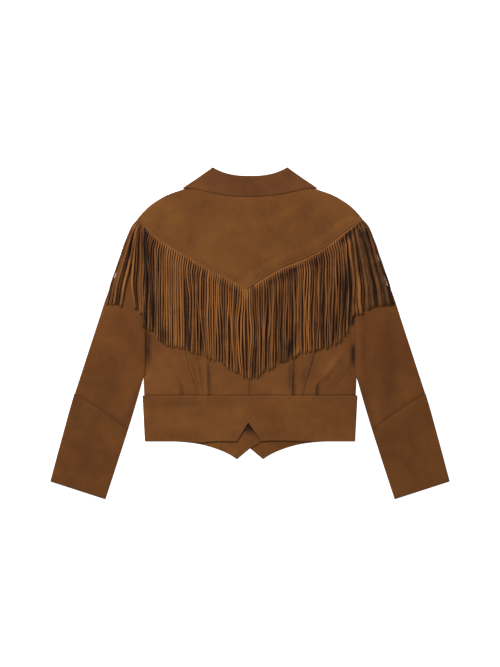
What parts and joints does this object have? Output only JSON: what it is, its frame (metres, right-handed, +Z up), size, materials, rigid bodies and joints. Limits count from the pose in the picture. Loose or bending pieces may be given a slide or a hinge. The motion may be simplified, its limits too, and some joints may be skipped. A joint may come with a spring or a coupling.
{
  "type": "fringed suede jacket",
  "caption": "Cropped suede jacket laid flat, back up, with a V yoke edged in long cut fringe, a turned-down collar and a notched waistband.",
  "frame": {"origin": "centre of the jacket's bounding box, on the flat surface it lies on", "axes": "+X across the jacket from its left sleeve towards its right sleeve, +Y from the hem towards the collar, +Z up from the surface, out of the jacket's back"},
  "size_m": [0.84, 0.6969, 0.0091],
  "materials": {
    "yoke_suede": "matte napped suede",
    "back_suede": "matte napped suede",
    "side_suede": "matte napped suede",
    "front_suede": "matte napped suede",
    "band_suede": "matte napped suede",
    "sleeve_suede": "matte napped suede",
    "cuff_suede": "matte napped suede",
    "collar_suede": "matte napped suede",
    "fringe_suede": "matte napped suede"
  },
  "bodies": {
    "root": {"yoke": "yoke_suede", "collar": "collar_suede", "waistband": "band_suede", "back_left": "back_suede", "side_back_left": "side_suede", "front_left": "front_suede", "sleeve_left": "sleeve_suede", "cuff_left": "cuff_suede", "fringe_left": "fringe_suede", "back_right": "back_suede", "side_back_right": "side_suede", "front_right": "front_suede", "sleeve_right": "sleeve_suede", "cuff_right": "cuff_suede", "fringe_right": "fringe_suede"}
  },
  "joints": []
}
